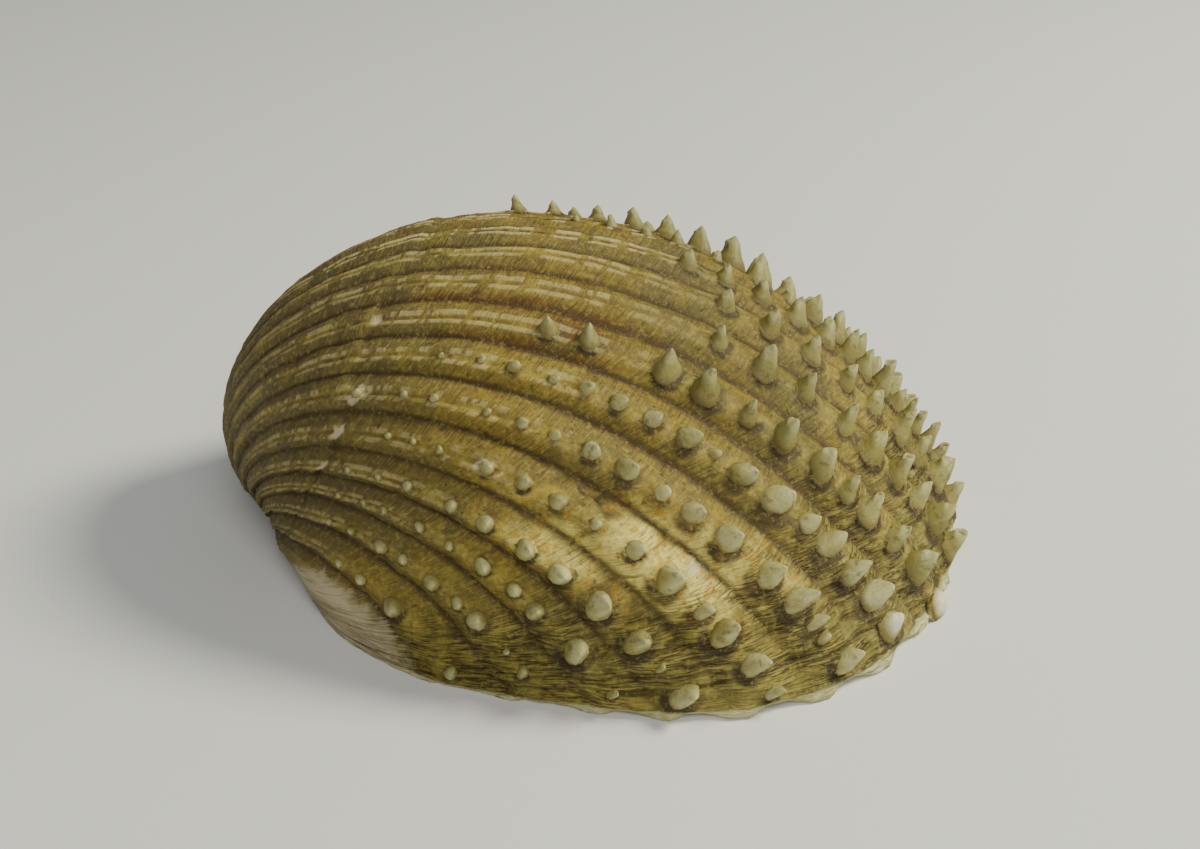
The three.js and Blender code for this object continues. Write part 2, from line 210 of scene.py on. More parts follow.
NRM = grid_normals(P)
mid = P[20, len(cols) // 2]
if np.dot(NRM[20, len(cols) // 2], mid - np.array([0, 0, 8.0])) < 0:
    NRM = -NRM
size = shrink(A)                      # how far the ribs have shrunk, against the margin

# growth lines: notches that run round the valve, closer together near the margin
rng = np.random.RandomState(5)
crack = np.zeros_like(A)
relief = np.zeros_like(A)
pos, lines = 0.014, []
while pos < 2.2:
    lines.append(pos)
    near = 1 - min(1, pos / 0.26)
    pos += (0.0125 + 0.010 * rng.rand()) if near > 0 else (0.035 + 0.06 * rng.rand())
for n, at in enumerate(lines):
    near = 1 - min(1, at / 0.30)
    wob = 0.0075 * noise_a(TH * 5, n * 1.7) + (0.0030 + 0.0030 * near) * noise_b(TH * 19, n * 2.3) + (0.004 - 0.010 * near) * U ** 2 * FADE
    d = A + wob - at
    part = step(noise_c(TH * (3.5 + 6 * near), n * 3.1), -0.30 + 0.1 * (1 - near), 0.22)
    width = 0.0044 + 0.0006 * near
    notch = np.exp(-(d / width) ** 2) * part
    saw = np.exp(-np.maximum(d, 0) / 0.016) * (d > 0) * part
    relief += -(0.09 + 0.34 * near) * notch + (0.03 + 0.16 * near) * saw
    crack = np.maximum(crack, notch * (0.32 + 0.62 * near) * (0.35 + 0.65 * np.maximum(U, near)))
# a marked halt in growth
halt = 1.128 - 0.105 * step(-TH, 0.36, 1.2) - 0.02 * step(-TH, 1.2, 2.0)
d = A - halt + 0.01 * noise_b(TH * 9, 7.7)
relief += -0.22 * np.exp(-(d / 0.012) ** 2) + 0.12 * np.exp(-((d - 0.03) / 0.03) ** 2)
crack = np.maximum(crack, 0.45 * np.exp(-(d / 0.010) ** 2) * (0.4 + 0.6 * U))

# the slit along each worn crest, and the low swells between the spines
worn = step(A, 0.5, 0.75) * (1 - step(A, 1.9, 2.4)) * FADE
slit = np.exp(-(U / 0.16) ** 2) * worn
line_w = np.interp(K, [0, 10, 11, 14, 15, 17, 22], [0.45, 0.6, 1.0, 1.0, 0.65, 0.4, 0.2])
line_w = line_w * np.interp(A, [0, 0.50, 0.72, 1.35, 1.75, 4], [0, 0, 1, 1, 0, 0]) * FADE
relief += -0.30 * slit * size ** 0.5
relief += 0.10 * np.exp(-((U - 0.26) / 0.13) ** 2) * worn * size ** 0.5

# flanks: fine cross striae and small pits
stri = noise_b(np.cos(TH) * 14, A * 120, np.sin(TH) * 14) + 0.5 * noise_c(np.cos(TH) * 30, A * 60, np.sin(TH) * 30)
relief += 0.075 * stri * (0.35 + 0.65 * U) * FADE * size ** 0.3
relief += 0.10 * noise_a(np.cos(TH) * 20, np.sin(TH) * 20, A * 22) * FADE
relief += 0.16 * noise_c(np.cos(TH) * 8, np.sin(TH) * 8, A * 9)
ragged = (1 - step(A, 0.10, 0.30)) * FADE
relief += ragged * (0.13 * noise_a(np.cos(TH) * 24, A * 170, np.sin(TH) * 24) + 0.14 * noise_b(np.cos(TH) * 11, A * 75, np.sin(TH) * 11))

# the crack in the near flank
def line_mask(t0, a0, t1, a1, width_mm, jag):
    """1 on a thin crooked line between two points of the surface, as (angle, growth angle)."""
    kt, ka = 33.0, 55.0
    px, py = (TH - t0) * kt, (A - a0) * ka
    vx, vy = (t1 - t0) * kt, (a1 - a0) * ka
    ll = math.hypot(vx, vy)
    s = (px * vx + py * vy) / ll
    off = (px * vy - py * vx) / ll + jag * noise_a(s * 1.3, t0 * 9)
    inside = step(s, -0.3, 0.2) * (1 - step(s, ll - 0.2, ll + 0.3))
    return np.exp(-(off / width_mm) ** 2) * inside


split = np.maximum(line_mask(-1.049, .408, -0.932, .424, 0.24, 0.35), line_mask(-0.905, .50, -0.932, .424, 0.2, 0.3))
relief += -0.5 * split
crack = np.maximum(crack, split)

# ------------------------------------------------------------------ local frames for the spines
def frame_at(t, a):
    e = 1e-3
    tt, aa = np.array(t), np.array(a)
    p = outer(tt, aa)
    back = outer(tt, aa + e) - outer(tt, aa - e)
    back /= np.linalg.norm(back)
    side = outer(tt + e, aa, 0.0) - outer(tt - e, aa, 0.0)
    n = np.cross(back, side)
    n /= np.linalg.norm(n)
    if np.dot(n, p - np.array([0, 0, 6.0])) < 0:
        n = -n
    side = side - np.dot(side, back) * back
    side -= np.dot(side, n) * n
    side /= np.linalg.norm(side)
    return p, back, side, n       # back: to the beak; side: to larger angles


spine_list = []
rs = np.random.RandomState(17)
for th, row in SPINES:
    along_row = outer(np.full(len(row), th), np.array([r[0] for r in row]))
    gaps = np.linalg.norm(np.diff(along_row, axis=0), axis=1)
    for n_row, (a, w, h) in enumerate(row):
        if th > -0.45:
            gap = min(gaps[max(0, n_row - 1)], gaps[min(len(gaps) - 1, n_row)])
            far = float(step(np.array(th), 0.50, 0.85) * (1 - step(np.array(th), 1.15, 1.40)))
            late = float(step(np.array(a), 0.20, 0.52))
            w, h = w * 1.06 * (1 + (0.10 + 0.46 * far) * late), h * 0.78 * (1 - 0.04 * late * (1 - far)) * (1 + 0.42 * far * late)
            if th in (0.98, 0.575) and a > 0.40 and n_row % 2:
                w, h = w * 0.70, h * 0.50          # worn stubs between the taller ones
            if th > 1.25:
                w, h = w * 0.90, h * 1.22
            w = min(w, 0.90 * gap + (0.45 if th in (0.98, 0.575) else 0.15))
        spine_list.append(dict(
            th=th + 0.012 * (rs.rand() - 0.5), a=a, w=w * (0.90 + 0.12 * rs.rand()), h=h * (0.78 + 0.14 * rs.rand()),
            knob=th < -0.45, rnd=rs.rand(), turn=rs.rand() * 6.28, lump=rs.rand(3), cup=rs.rand(), broken=0.0))
for s in spine_list:
    # two that are snapped off short and show fresh white
    if (abs(s["th"] + 0.582) < 0.02 and s["a"] == .05) or (abs(s["th"] + 0.372) < 0.02 and s["a"] == .014):
        s.update(broken=1.0, h=s["h"] * (0.72 if s["th"] < -0.45 else 0.42), knob=False, cup=0.5)

# every spine stands on a low mound, with dirt and painted shade round its foot
foot_dirt_and_shade = np.zeros_like(A)
mound = np.zeros_like(A)
for s in spine_list:
    p, back, side, n = frame_at(s["th"], s["a"])
    s["frame"] = (p, back, side, n)
    sel = (np.abs(TH - s["th"]) < 0.3) & (np.abs(A - s["a"]) < 0.14)
    q = P[sel] - p
    x, y = q @ side, q @ back
    rr = np.sqrt((x / (0.62 * s["w"])) ** 2 + (y / (0.55 * s["w"])) ** 2)
    mound[sel] = np.maximum(mound[sel], 0.16 * min(s["h"], 2.2) * np.exp(-(rr / 1.35) ** 2))
    low = 0.55 - 0.45 * (x * 0.75 + y * 0.65) / np.maximum(np.hypot(x, y), 1e-6)    # heavier on the side away from the light
    foot_dirt_and_shade[sel] = np.maximum(foot_dirt_and_shade[sel], np.exp(-((rr - 0.95) / 0.36) ** 2) * np.clip(low, 0, 1) ** 1.3 * min(1, s["w"] / 2.0))
relief += mound

relief += 0.32 * (1 - step(A, 0.012, 0.040)) * step(U, 0.45, 0.9) * FADE       # each lobe swells out
P = P + NRM * relief[..., None]

# ------------------------------------------------------------------ inside
icols = cols[::2]
irows = np.concatenate([[0, 0.006, 0.013, 0.021, 0.03, 0.04, 0.052, 0.066, 0.082, 0.1, 0.12], np.arange(0.145, 1.5, 0.036),
                        np.arange(1.5, 2.1, 0.04), [2.12, 2.15, 2.175, 2.19]])
ITH, IAR = np.meshgrid(icols, irows)
IU, IK = rib_u(ITH)
IF = rib_fade(ITH)
ilobe = lobe[0][::2][None, :] * 0.8
IA = IAR + ilobe * (1 - step(IAR, 0, 0.12))
flute = 0.95 * (0.5 + 0.5 * np.cos(np.pi * IU)) * IF * (1 - step(IAR, 0.05, 0.15))   # inside of each rib's end
flute += 0.40 * (0.5 + 0.5 * np.cos(np.pi * IU)) * IF * (1 - step(IAR, 0.15, 1.1))
IP = inner(ITH, IA, flute)
IN = -grid_normals(IP)
imid = IP[10, len(icols) // 2]
if np.dot(IN[10, len(icols) // 2], imid - np.array([0, 0, 8.0])) > 0:
    IN = -IN                          # towards the hollow
irel = np.zeros_like(IA)
scar = np.zeros_like(IA)
for t0, a0, st, sa in ((1.62, 0.50, 0.23, 0.15), (-1.66, 0.52, 0.20, 0.14)):
    e = ((ITH - t0) / st) ** 2 + ((IA - a0) / sa) ** 2
    scar = np.maximum(scar, 1 - step(e, 0.75, 1.15))
    irel += 0.40 * np.exp(-((np.sqrt(e) - 1.0) / 0.16) ** 2) - 0.10 * (1 - step(e, 0.7, 1.1))
pall = np.exp(-((IA - 0.235 - 0.02 * np.cos(ITH * 2)) / 0.018) ** 2) * (1 - step(np.abs(ITH), 1.35, 1.6))
scar = np.maximum(scar, 0.7 * pall)
irel += -0.12 * pall + 0.07 * noise_a(np.cos(ITH) * 7, np.sin(ITH) * 7, IA * 9)
IP = IP + IN * irel[..., None]

# the hinge: the plate is set back from the margin and carries four teeth
hinge = step(np.abs(TH[0]), 2.2, 2.55)
ihinge = step(np.abs(ITH[0]), 2.2, 2.55)


def tooth_mesh(y0, half_x, half_y, turned):
    """One closed tooth that stands in the recess of the hinge plate and ends above the resting plane."""
    on = np.where(hinge > 0.9)[0]
    line = rim[2][on][np.argsort(rim[2][on, 1])]
    cx, cz = np.interp(y0, line[:, 1], line[:, 0]), np.interp(y0, line[:, 1], line[:, 2])
    ahead, behind = (np.interp(y0 + d, line[:, 1], line[:, 0]) for d in (1.5, -1.5))
    turned += math.atan2(behind - ahead, 3.0)         # along the plate
    around = np.arange(12) / 12 * 2 * math.pi
    top, low = cz + 0.35, 0.14
    vs = []
    for f in (0.04, 0.16, 0.34, 0.55, 0.76, 0.92):
        r = math.sin(math.pi * (0.5 + 0.5 * f)) ** 0.55
        x, y = half_x * r * np.cos(around), half_y * r * np.sin(around)
        vs.append(np.stack([cx + x * math.cos(turned) - y * math.sin(turned), y0 + x * math.sin(turned) + y * math.cos(turned),
                            np.full(12, top + (low - top) * f)], -1))
    vs = np.concatenate(vs + [[[cx, y0, top]], [[cx, y0, low]]])
    fs = [(k * 12 + i, k * 12 + (i + 1) % 12, (k + 1) * 12 + (i + 1) % 12, (k + 1) * 12 + i)[::-1] for k in range(5) for i in range(12)]
    for i in range(12):
        j = (i + 1) % 12
        fs += [(i, j, 72), (60 + j, 60 + i, 73)]
    return vs, fs


# ------------------------------------------------------------------ one closed body
verts, quads, tris = [], [], []
att = {k: [] for k in ("grow", "u", "rib", "inside", "crack", "foot_dirt_and_shade", "edge", "slit")}


def add_rows(p, th, a, u, rib, inside, crk, ft, edge, slt):
    base = sum(len(v) for v in verts)
    n = p.shape[0] * p.shape[1]
    verts.append(p.reshape(-1, 3))
    ones = np.ones(p.shape[:2])
    att["grow"].append(np.stack([np.cos(th), np.sin(th), a], -1).reshape(-1, 3))
    for key, val in (("u", u), ("rib", rib), ("inside", inside), ("crack", crk), ("foot_dirt_and_shade", ft), ("edge", edge), ("slit", slt)):
        att[key].append((val * ones).reshape(-1))
    return base + np.arange(n).reshape(p.shape[:2])


edge_mask = 1 - step(A, 0.0090, 0.0260)
P[..., 2] = np.maximum(P[..., 2], 0.0)
io = add_rows(P, TH, A, U, K, 0.0, crack, foot_dirt_and_shade, edge_mask, line_w)
IP[..., 2] = np.maximum(IP[..., 2], 0.0)

# rim: from the outer edge round to the inner one; inner columns are every second outer one
N, M = len(cols), len(icols)
out_edge = P[0]
inn_edge = np.empty_like(out_edge)
inn_edge[::2] = IP[0]
inn_edge[1::2] = 0.5 * (IP[0] + np.roll(IP[0], -1, 0))
rim_rows = []
for f, dz in ((0.10, -0.30), (0.28, -0.48), (0.5, -0.50), (0.74, -0.36), (0.92, -0.14)):
    q = out_edge * (1 - f) + inn_edge * f
    q[:, 2] = q[:, 2] + dz
    set_back = 1.1 * hinge * math.sin(math.pi * min(1, f * 1.15))
    q[:, 2] = np.maximum(q[:, 2], 0.02) + set_back
    rim_rows.append(q)
rim = np.array(rim_rows)
lo_edge = P[0, :, 2] - 0.0
ir = add_rows(rim, np.tile(cols, (len(rim), 1)), np.zeros((len(rim), N)), np.tile(U[0], (len(rim), 1)),
              np.tile(K[0], (len(rim), 1)), np.linspace(0.25, 0.9, len(rim))[:, None], 0.0, 0.0, 1.0, 0.0)
ii = add_rows(IP, ITH, IA, IU, IK, 1.0, scar, 0.0, 0.0, 0.0)


def ring_quads(lo, hi, flip):
    n = len(lo)
    a, b = lo, np.roll(lo, -1)
    c, d_ = np.roll(hi, -1), hi
    q = np.stack([a, b, c, d_], -1)
    return q[:, ::-1] if flip else q


for r in range(len(rows) - 1):
    quads.append(ring_quads(io[r], io[r + 1], True))
quads.append(ring_quads(ir[0], io[0], True))
for r in range(len(rim) - 1):
    quads.append(ring_quads(ir[r + 1], ir[r], True))
for r in range(len(irows) - 1):
    quads.append(ring_quads(ii[r], ii[r + 1], False))
# last rim row to the inner grid, two to one
for i in range(M):
    o0, o1, o2 = ir[-1][2 * i], ir[-1][2 * i + 1], ir[-1][(2 * i + 2) % N]
    p0, p1 = ii[0][i], ii[0][(i + 1) % M]
    tris += [(o0, o1, p0), (o1, p1, p0), (o1, o2, p1)]
total = sum(len(v) for v in verts)
for loop, flip in ((io[-1], True), (ii[-1], False)):
    allv = np.concatenate(verts)
    verts.append(allv[loop].mean(0)[None])
    for key in att:
        src = np.concatenate(att[key])
        att[key].append(src[loop].mean(0)[None] if src.ndim == 2 else np.array([src[loop].mean()]))
    for i in range(len(loop)):
        j = (i + 1) % len(loop)
        tris.append((loop[i], total, loop[j]) if flip else (loop[i], loop[j], total))
    total += 1
body_v = np.concatenate(verts)
body_att = {k: np.concatenate(v) for k, v in att.items()}
body_f = [tuple(int(x) for x in q) for q in np.concatenate(quads)] + [tuple(int(x) for x in t) for t in tris]


# ------------------------------------------------------------------ spines
def spine_mesh(s):
    """Vertices, faces, height along the spine (0 to 1) and cup mask of one closed spine."""
    p, back, side, n = s["frame"]
    w, h = s["w"], s["h"]
    big = w > 1.5
    segs = (14 if w > 2.2 else 12) if big else 8
    if s["knob"]:
        w = w * (1 - 0.09 * min(1.0, s["a"] / 0.3))
        h = h * (1.14 - 0.10 * min(1.0, s["a"] / 0.4))
        # rounded drop-shaped knob, its tip drawn over to the side
        prof = [(-0.40, 0.94), (-0.04, 1.02), (0.15, 1.05), (0.35, 0.95), (0.56, 0.75), (0.75, 0.51), (0.89, 0.31), (0.97, 0.15)] if big else \
               [(-0.5, 0.92), (0.0, 1.04), (0.35, 1.0), (0.68, 0.66), (0.92, 0.28)]
        away = float(step(np.array(s["a"]), 0.13, 0.40))
        flat, lean_back, lean_side, cup = 0.60 + 0.16 * s["lump"][0] + 0.34 * away, -0.05 - 0.22 * s["lump"][1] - 0.36 * away, (0.44 + 0.36 * s["lump"][2]) * (1 - 0.6 * away), 0
    else:
        # broad-footed blunt spine, hollowed at the tip
        r_tip = 0.25 + 0.24 * s["cup"] ** 1.4 - 0.03 * min(1.0, s["a"] / 0.3)
        open_tip = s["cup"] > 0.70 and s["a"] < 0.22
        r_tip -= 0.07 if open_tip else 0.0
        if big:
            def wide(t):
                return r_tip + 0.05 + (1.20 - r_tip - 0.05) * (1 - max(t, 0)) ** (0.94 + 0.38 * s["lump"][1])
            prof = [(-0.22, 1.36), (-0.03, 1.28)] + [(t, wide(t)) for t in (0.10, 0.26, 0.46, 0.67, 0.84)]
            prof += [(0.96, r_tip + 0.03), (1.0, r_tip - 0.09)] if open_tip else [(0.94, r_tip * 0.88), (0.99, r_tip * 0.50)]
            cup = 1 if open_tip else 0
        else:
            prof = [(-0.3, 1.16), (0.0, 1.08), (0.25, 0.92), (0.55, 0.74), (0.82, 0.52), (0.96, 0.30)]
            cup = 0
        flat, lean_back, lean_side = 0.72 + 0.14 * s["lump"][2], 0.26 + 0.16 * s["lump"][1], 0.22 + 0.14 * s["lump"][0]
    if cup:
        depth = 0.10 + 0.12 * s["lump"][0]
        prof = prof + [(1.0 - depth, r_tip * 0.42)]
    vs, ts, cs = [], [], []
    ang = np.arange(segs) / segs * 2 * math.pi
    for k, (t, r) in enumerate(prof):
        tc = max(t, 0.0)
        inner_ring = cup and k >= len(prof) - 1
        lump = 1 + (0.10 * np.cos(2 * ang + s["turn"]) + 0.08 * np.cos(3 * ang + 2 * s["turn"]) + 0.04 * np.cos(5 * ang - s["turn"] + 3 * tc)) * (0.4 + tc)
        lump = lump * (1 + 0.05 * math.sin(9 * t + s["turn"]))
        if s["knob"]:
            lump = lump * (1 - (0.12 + 0.30 * s["cup"]) * min(1.0, tc * 1.6) * np.maximum(0, np.sin(ang - 0.5)) ** 2)   # a hood, hollowed behind
        rad = 0.5 * w * r * lump
        fl = flat + (0.12 * (1 - tc) if not s["knob"] else 0.10 * (1 - tc))
        cx = lean_side * h * tc ** 1.6 + (0.10 * w * (s["lump"][1] - 0.5)) * tc
        cy = lean_back * h * tc ** 1.5 + (0.10 * w * (s["lump"][2] - 0.5)) * tc
        up = np.full(segs, t * h)
        if not s["knob"] and tc > 0.6:
            # the open tip slopes to the beak side, and its rim is notched
            slope = 0.16 * h * (np.sin(ang) * -1.0) * (tc - 0.6) / 0.4
            notch = -0.10 * h * np.exp(-((np.mod(ang - 1.57 - 0.6 * (s["cup"] - 0.5) + math.pi, 2 * math.pi) - math.pi) / 0.5) ** 2) * (tc - 0.6) / 0.4
            up = up + slope + (notch if cup and not inner_ring else 0)
        if inner_ring:
            fl *= 0.55                # the opening is a slit
        q = p + np.outer(cx + rad * np.cos(ang), side) + np.outer(cy + fl * rad * np.sin(ang), back) + np.outer(up, n)
        vs.append(q)
        ts += [min(max(t, 0.0), 1.0)] * segs
        cs += [1.0 if inner_ring else 0.0] * segs
    vs = np.concatenate(vs)
    nr = len(prof)
    bottom, top = vs[:segs].mean(0), vs[-segs:].mean(0)
    if not cup:
        top = top + n * (0.05 * h if s["knob"] else 0.03 * h)
    vs = np.concatenate([vs, bottom[None], top[None]])
    ts += [0.0, 1.0]
    cs += [0.0, 1.0 if cup else 0.0]
    fs = []
    for k in range(nr - 1):
        for i in range(segs):
            j = (i + 1) % segs
            fs.append((k * segs + i, k * segs + j, (k + 1) * segs + j, (k + 1) * segs + i))
    b, tp = nr * segs, nr * segs + 1
    for i in range(segs):
        j = (i + 1) % segs
        fs.append((j, i, b))
        fs.append(((nr - 1) * segs + i, (nr - 1) * segs + j, tp))
    if np.dot(np.cross(side, back), n) < 0:
        fs = [f[::-1] for f in fs]
    vs[:, 2] = np.maximum(vs[:, 2], 0.12)
    return vs, fs, ts, cs


MM = 0.001


def make_mesh(name, v, f):
    me = bpy.data.meshes.new(name)
    me.from_pydata([tuple(x) for x in np.asarray(v) * MM], [], f)
    me.update()
    return me


def make_object(name, me):
    ob = bpy.data.objects.new(name, me)
    bpy.context.scene.collection.objects.link(ob)
    return ob


shell = make_object("shell_valve_surface", make_mesh("shell_valve_surface", body_v, body_f))

sp_v, sp_t, sp_c, sp_r, sp_b, sp_k = [], [], [], [], [], []
operands = []
for part in (0, 1):
    V, F, base = [], [], 0
    for i, s in enumerate(spine_list):
        if i % 2 != part:
            continue
        vs, fs, ts, cs = spine_mesh(s)
        V.append(vs)
        F += [tuple(x + base for x in f) for f in fs]
        base += len(vs)
        sp_v.append(vs)
        sp_t += ts
        sp_c += cs
        sp_r += [s["rnd"]] * len(vs)
        sp_b += [s["broken"]] * len(vs)
        sp_k += [float(s["knob"])] * len(vs)
    if part == 0:
        for one in ((-2.6, 1.00, 1.00, 0.5), (1.6, 1.10, 1.25, -0.35), (-13.0, 0.50, 1.9, 0.0), (13.0, 0.50, 2.0, 0.0)):
            vs, fs = tooth_mesh(*one)
            V.append(vs)
            F += [tuple(x + base for x in f) for f in fs]
            base += len(vs)
    operands.append(make_object("spines_%d" % part, make_mesh("spines_%d" % part, np.concatenate(V), F)))
sp_v = np.concatenate(sp_v)

for k, ob in enumerate(operands):
    m = shell.modifiers.new("join_%d" % k, "BOOLEAN")
    m.operation, m.solver, m.object = "UNION", "MANIFOLD", ob
bpy.context.view_layer.update()
dg = bpy.context.evaluated_depsgraph_get()
joined = bpy.data.meshes.new_from_object(shell.evaluated_get(dg))
print("joined triangles", sum(len(f.vertices) - 2 for f in joined.polygons))
shell.modifiers.clear()
shell.data = joined
joined.name = "shell_valve_mesh"
for ob in operands:
    bpy.data.objects.remove(ob)

# ------------------------------------------------------------------ surface data, looked up from the nearest made point
nv = len(joined.vertices)
co = np.empty(nv * 3, np.float32)
joined.vertices.foreach_get("co", co)
co = co.reshape(-1, 3) / MM
tree = kdtree.KDTree(len(body_v))
for i, v in enumerate(body_v):
    tree.insert(v, i)
tree.balance()
stree = kdtree.KDTree(len(sp_v))
for i, v in enumerate(sp_v):
    stree.insert(v, i)
stree.balance()
bi = np.empty(nv, int)
bd = np.empty(nv)
si = np.empty(nv, int)
sd = np.empty(nv)
for i, v in enumerate(co):
    _, bi[i], bd[i] = tree.find(v)
    _, si[i], sd[i] = stree.find(v)
on_spine = (sd < 0.02) & (bd > 0.004)
sp_t, sp_c, sp_r, sp_b, sp_k = (np.array(x) for x in (sp_t, sp_c, sp_r, sp_b, sp_k))


def put(name, values):
    values = np.asarray(values, np.float32)
    kind = "FLOAT_VECTOR" if values.ndim == 2 else "FLOAT"
    at = joined.attributes.new(name, kind, "POINT")
    at.data.foreach_set("vector" if values.ndim == 2 else "value", values.ravel())


for key in ("grow", "u", "rib", "inside", "crack", "foot_dirt_and_shade", "edge", "slit"):
    put(key, body_att[key][bi])
put("spine", np.where(on_spine, 0.12 + 0.88 * sp_t[si], 0.0))
put("cup", np.where(on_spine, sp_c[si], 0.0))
put("knob", np.where(on_spine, sp_k[si], 0.0))
put("rnd", np.where(sd < 3.0, sp_r[si], 0.5))
put("broken", np.where(on_spine, sp_b[si] * step(sp_t[si], 0.25, 0.7), 0.0))

# broad tints and painted shade, as soft regions of the growth map
th = np.arctan2(body_att["grow"][:, 1], body_att["grow"][:, 0])[bi]
ga = body_att["grow"][bi, 2]


def region(t0, a0, st, sa):
    return np.exp(-(((th - t0) / st) ** 2 + ((ga - a0) / sa) ** 2))


white = np.zeros(nv)
for t0, a0, st, sa, k in (
        (-0.372, 1.128, .05, .016, .7), (-0.582, 1.09, .05, .015, .5), (-0.80, 1.056, .065, .020, 1.0), (-0.77, 1.02, .04, .014, .6),
        (-0.995, 1.047, .065, .018, .9), (-1.19, 1.03, .06, .016, .8), (-1.36, 1.02, .06, .014, .5),
        (-0.99, .66, .035, .016, .9), (-1.0, .612, .03, .010, .5), (-0.86, .33, .07, .05, .35), (-0.93, .27, .08, .055, .45),
        (-0.60, .055, .03, .012, .35)):
    white = np.maximum(white, k * region(t0, a0, st, sa))
bald = step(-th, 1.72, 2.14) * (1 - step(-th, 2.35, 2.6)) * (1 - step(ga, .46, .80))
white = np.maximum(white, 0.85 * bald)
cream = np.maximum(region(-0.95, .30, .19, .15), 0.9 * region(-1.12, .40, .13, .12))
cream = np.maximum(cream, 0.5 * region(-0.75, .22, .12, .09))
cream = np.maximum(cream, 0.42 * region(-1.05, .52, .30, .17))
stain = np.maximum.reduce([0.95 * region(-.24, .85, .05, .34), 0.75 * region(-.46, .78, .05, .25), 0.6 * region(-.02, .9, .06, .28),
                           0.8 * region(-.34, .72, .09, .12), 0.5 * region(.2, 1.0, .07, .3), 0.45 * region(-.65, .55, .05, .16),
                           0.5 * region(-.84, .33, .05, .09), 0.4 * region(1.1, .7, .12, .25)])
umbo = step(ga, 0.62, 1.60)
umbo = np.maximum(umbo, 0.95 * step(-th, 0.75, 1.6) * step(ga, .30, .95))
margin = 1 - step(ga, 0.05, 0.42)
put("white", white)
put("cream", cream)
put("stain", stain)
put("umbo", umbo)
put("margin", margin)
put("bald", bald)
# painted shade: darker over the far upper ribs, on the near flank towards the beak and in a band across the middle of
# the body
painted_shade = np.maximum(0.17 * step(th, -0.15, 0.45) * (1 - step(ga, 0.75, 1.25)) * (1 - step(th, 1.6, 2.2)),
                   0.13 * step(-th, 0.45, 1.1) * step(ga, 0.35, 0.85))
painted_shade = np.maximum(painted_shade, 0.20 * step(th, -0.66, -0.40) * (1 - step(th, 1.6, 2.2)) * step(ga, 0.20, 0.42) * (1 - step(ga, 0.62, 1.05)))
put("painted_shade", painted_shade)


# ------------------------------------------------------------------ material
def lin(r, g, b):
    def f(c):
        c /= 255.0
        return c / 12.92 if c <= 0.04045 else ((c + 0.055) / 1.055) ** 2.4
    return (f(r), f(g), f(b), 1.0)


class Graph:
    def __init__(self, name):
        self.mat = bpy.data.materials.new(name)
        self.mat.use_nodes = True
        self.t = self.mat.node_tree
        self.t.nodes.clear()

    def node(self, kind):
        return self.t.nodes.new(kind)

    def set(self, socket, value):
        if isinstance(value, bpy.types.NodeSocket):
            self.t.links.new(value, socket)
        elif value is not None:
            socket.default_value = value

    def attr(self, name, vector=False):
        n = self.node("ShaderNodeAttribute")
        n.attribute_name = name
        return n.outputs["Vector"] if vector else n.outputs["Fac"]

    def m(self, op, a, b=None, c=None, clamp=False):
        n = self.node("ShaderNodeMath")
        n.operation, n.use_clamp = op, clamp
        for s, v in zip(n.inputs, (a, b, c)):
            self.set(s, v)
        return n.outputs[0]

    def mul(self, a, b):
        return self.m("MULTIPLY", a, b)

    def add(self, a, b):
        return self.m("ADD", a, b)

    def sub(self, a, b):
        return self.m("SUBTRACT", a, b)

    def ramp(self, x, lo, hi, out0=0.0, out1=1.0):
        n = self.node("ShaderNodeMapRange")
        n.interpolation_type = "SMOOTHSTEP"
        for i, v in enumerate((x, lo, hi, out0, out1)):
            self.set(n.inputs[i], v)
        return n.outputs[0]

    def mix(self, f, a, b):
        n = self.node("ShaderNodeMix")
        n.data_type = "RGBA"
        self.set(n.inputs[0], f)
        self.set(n.inputs[6], a)
        self.set(n.inputs[7], b)
        return n.outputs[2]

    def noise(self, vec, scale, detail=2.0, rough=0.5, dist=0.0):
        n = self.node("ShaderNodeTexNoise")
        self.set(n.inputs["Vector"], vec)
        for k, v in (("Scale", scale), ("Detail", detail), ("Roughness", rough), ("Distortion", dist)):
            n.inputs[k].default_value = v
        return n.outputs["Fac"]

    def scale3(self, vec, x, y, z, ox=0.0, oy=0.0, oz=0.0):
        n = self.node("ShaderNodeMapping")
        self.set(n.inputs["Vector"], vec)
        n.inputs["Scale"].default_value = (x, y, z)
        n.inputs["Location"].default_value = (ox, oy, oz)
        return n.outputs[0]

    def split3(self, vec):
        n = self.node("ShaderNodeSeparateXYZ")
        self.set(n.inputs[0], vec)
        return n.outputs

    def join3(self, x, y, z):
        n = self.node("ShaderNodeCombineXYZ")
        for s, v in zip(n.inputs, (x, y, z)):
            self.set(s, v)
        return n.outputs[0]


g = Graph("shell")
geo = g.node("ShaderNodeTexCoord").outputs["Object"]
grow = g.attr("grow", True)
u, rib = g.attr("u"), g.attr("rib")
inside, crack_a, foot_dirt_and_shade_a, edge_a, slit_a = g.attr("inside"), g.attr("crack"), g.attr("foot_dirt_and_shade"), g.attr("edge"), g.attr("slit")
spine_a, cup_shade_a, rnd = g.attr("spine"), g.attr("cup"), g.attr("rnd")
white_a, cream_a, stain_a, umbo_a, margin_a, bald_a = (g.attr(n) for n in ("white", "cream", "stain", "umbo", "margin", "bald"))
ga_s = g.split3(grow)[2]

n_big = g.noise(geo, 90.0, 3.0, 0.55)
n_mid = g.noise(geo, 420.0, 4.0, 0.62, 0.3)
n_fine = g.noise(geo, 2300.0, 3.0, 0.6)
n_speck = g.noise(geo, 1300.0, 2.0, 0.5)
# cross striae: long across the ribs, thin along them
striae = g.noise(g.scale3(grow, 12, 12, 195), 1.0, 3.0, 0.65, 0.25)
striae_fine = g.noise(g.scale3(grow, 16, 16, 420, 3.1, 1.7, 0.4), 1.0, 2.0, 0.6, 0.2)
# along the ribs
along = g.noise(g.scale3(grow, 42, 42, 9), 1.0, 3.0, 0.6, 0.1)

